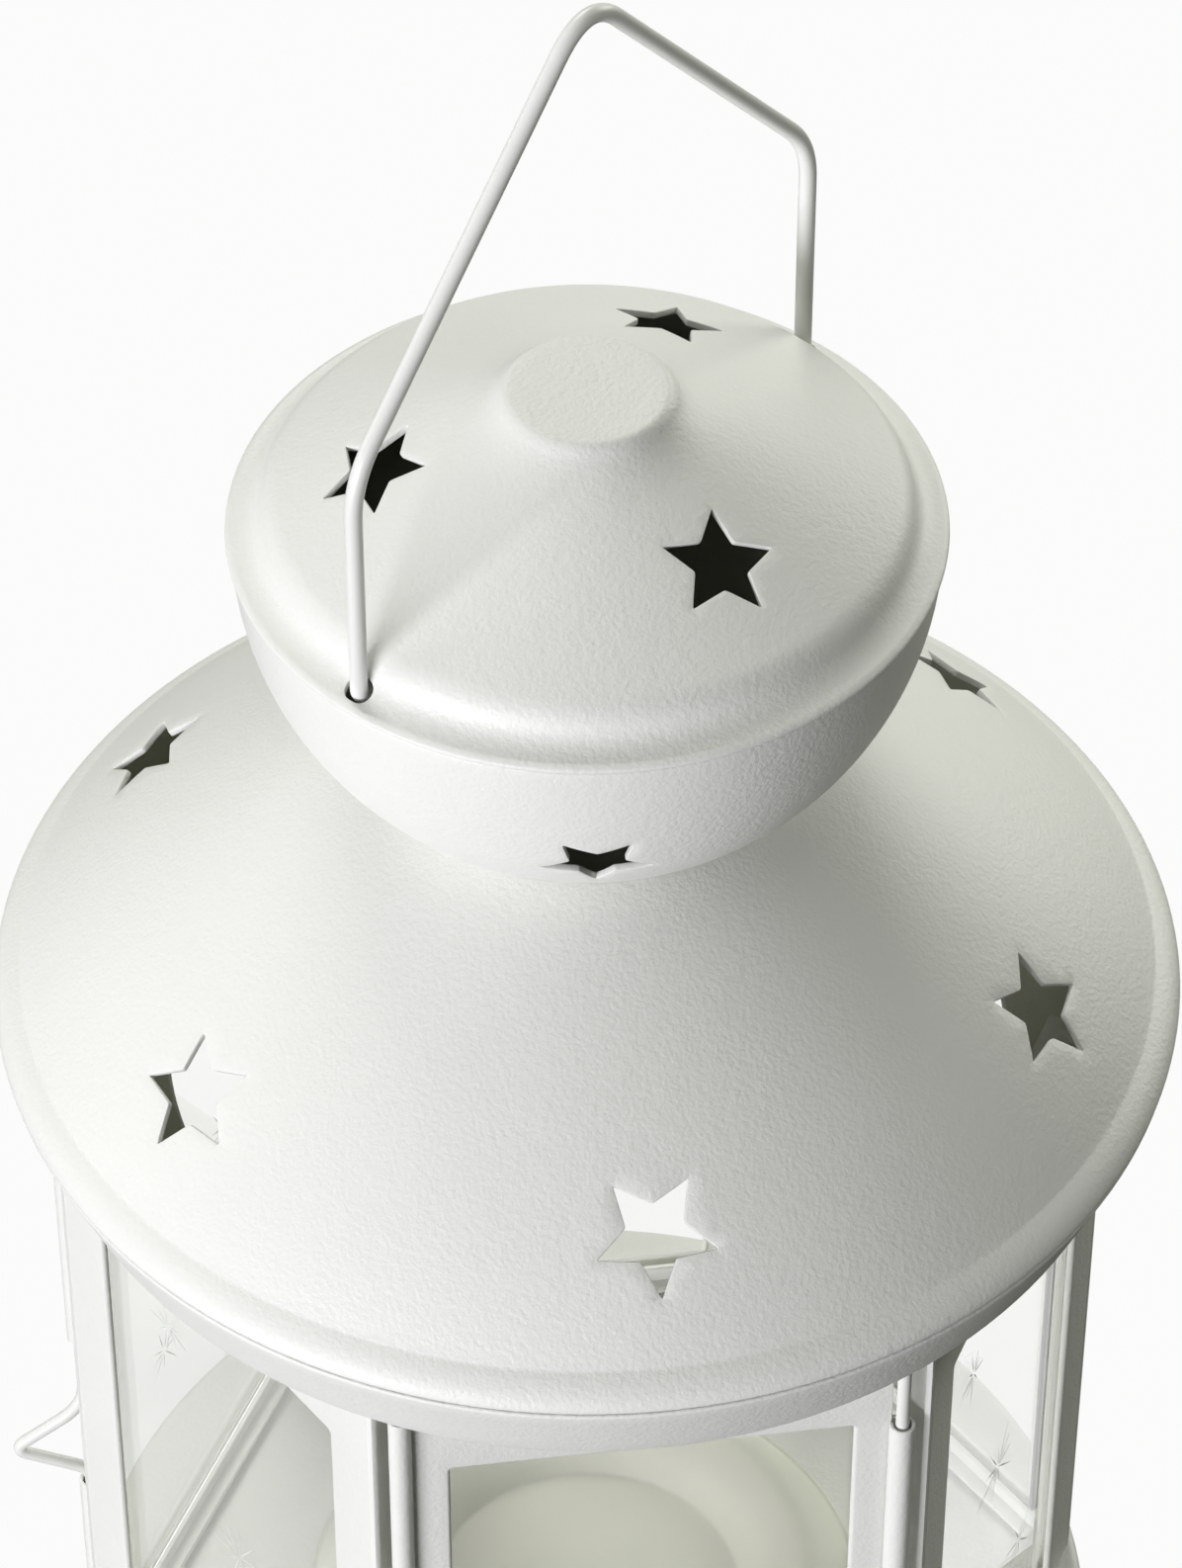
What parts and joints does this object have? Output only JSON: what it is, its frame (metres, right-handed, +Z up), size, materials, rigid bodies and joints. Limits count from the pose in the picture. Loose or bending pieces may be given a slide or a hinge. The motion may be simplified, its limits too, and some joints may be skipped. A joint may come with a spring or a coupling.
{
  "type": "tealight lantern",
  "caption": "Six-sided white metal lantern with glazed hinged doors and fixed windows, a conical roof and cap pierced with star vents, and a swinging wire bail handle.",
  "frame": {"origin": "on the ground under the middle of the base", "axes": "+Z up, -Y out of the front door, +X to the right of someone who faces the front door"},
  "size_m": [0.1432, 0.1402, 0.2642],
  "materials": {
    "white_coat": "satin powder coat with a fine grain",
    "white_wire": "smooth semi-gloss paint",
    "clear_glass": "clear"
  },
  "bodies": {
    "lantern": {"base_tray": "white_coat", "candle_dish": "white_coat", "roof_collar": "white_coat", "roof": "white_coat", "cap_bowl": "white_coat", "cap_lid": "white_coat", "right_window_frame": "white_coat", "right_window_glass": "clear_glass", "rear_window_frame": "white_coat", "rear_window_glass": "clear_glass", "left_window_frame": "white_coat", "left_window_glass": "clear_glass", "front_door_hinge_pin": "white_wire", "right_door_hinge_pin": "white_wire", "left_door_hinge_pin": "white_wire"},
    "handle": {"bail_handle": "white_wire"},
    "front_door": {"front_door_frame": "white_coat", "front_door_glass": "clear_glass"},
    "front_latch": {"front_door_latch_wire": "white_wire"},
    "right_door": {"right_door_frame": "white_coat", "right_door_glass": "clear_glass"},
    "right_latch": {"right_door_latch_wire": "white_wire"},
    "left_door": {"left_door_frame": "white_coat", "left_door_glass": "clear_glass"},
    "left_latch": {"left_door_latch_wire": "white_wire"}
  },
  "joints": [
    {"name": "handle_swing", "type": "hinge", "parent": "lantern", "child": "handle", "pos_m": [0, 0, 0.19471], "axis": [0.749, 0.6626, 0], "range_deg": [-30, 30]},
    {"name": "front_door_swing", "type": "hinge", "parent": "lantern", "child": "front_door", "pos_m": [-0.02919, -0.05627, 0.058], "axis": [0, 0, -1], "range_deg": [0, 110]},
    {"name": "right_door_swing", "type": "hinge", "parent": "lantern", "child": "right_door", "pos_m": [0.06333, 0.00286, 0.058], "axis": [0, 0, -1], "range_deg": [0, 110]},
    {"name": "left_door_swing", "type": "hinge", "parent": "lantern", "child": "left_door", "pos_m": [-0.03414, 0.05341, 0.058], "axis": [0, 0, -1], "range_deg": [0, 110]},
    {"name": "front_latch_turn", "type": "hinge", "parent": "front_door", "child": "front_latch", "pos_m": [0.02889, -0.05647, 0.058], "axis": [0, 0, 1], "range_deg": [-70, 55]},
    {"name": "right_latch_turn", "type": "hinge", "parent": "right_door", "child": "right_latch", "pos_m": [0.03446, 0.05325, 0.058], "axis": [0, 0, 1], "range_deg": [-70, 55]},
    {"name": "left_latch_turn", "type": "hinge", "parent": "left_door", "child": "left_latch", "pos_m": [-0.06335, 0.00322, 0.058], "axis": [0, 0, 1], "range_deg": [-70, 55]}
  ]
}
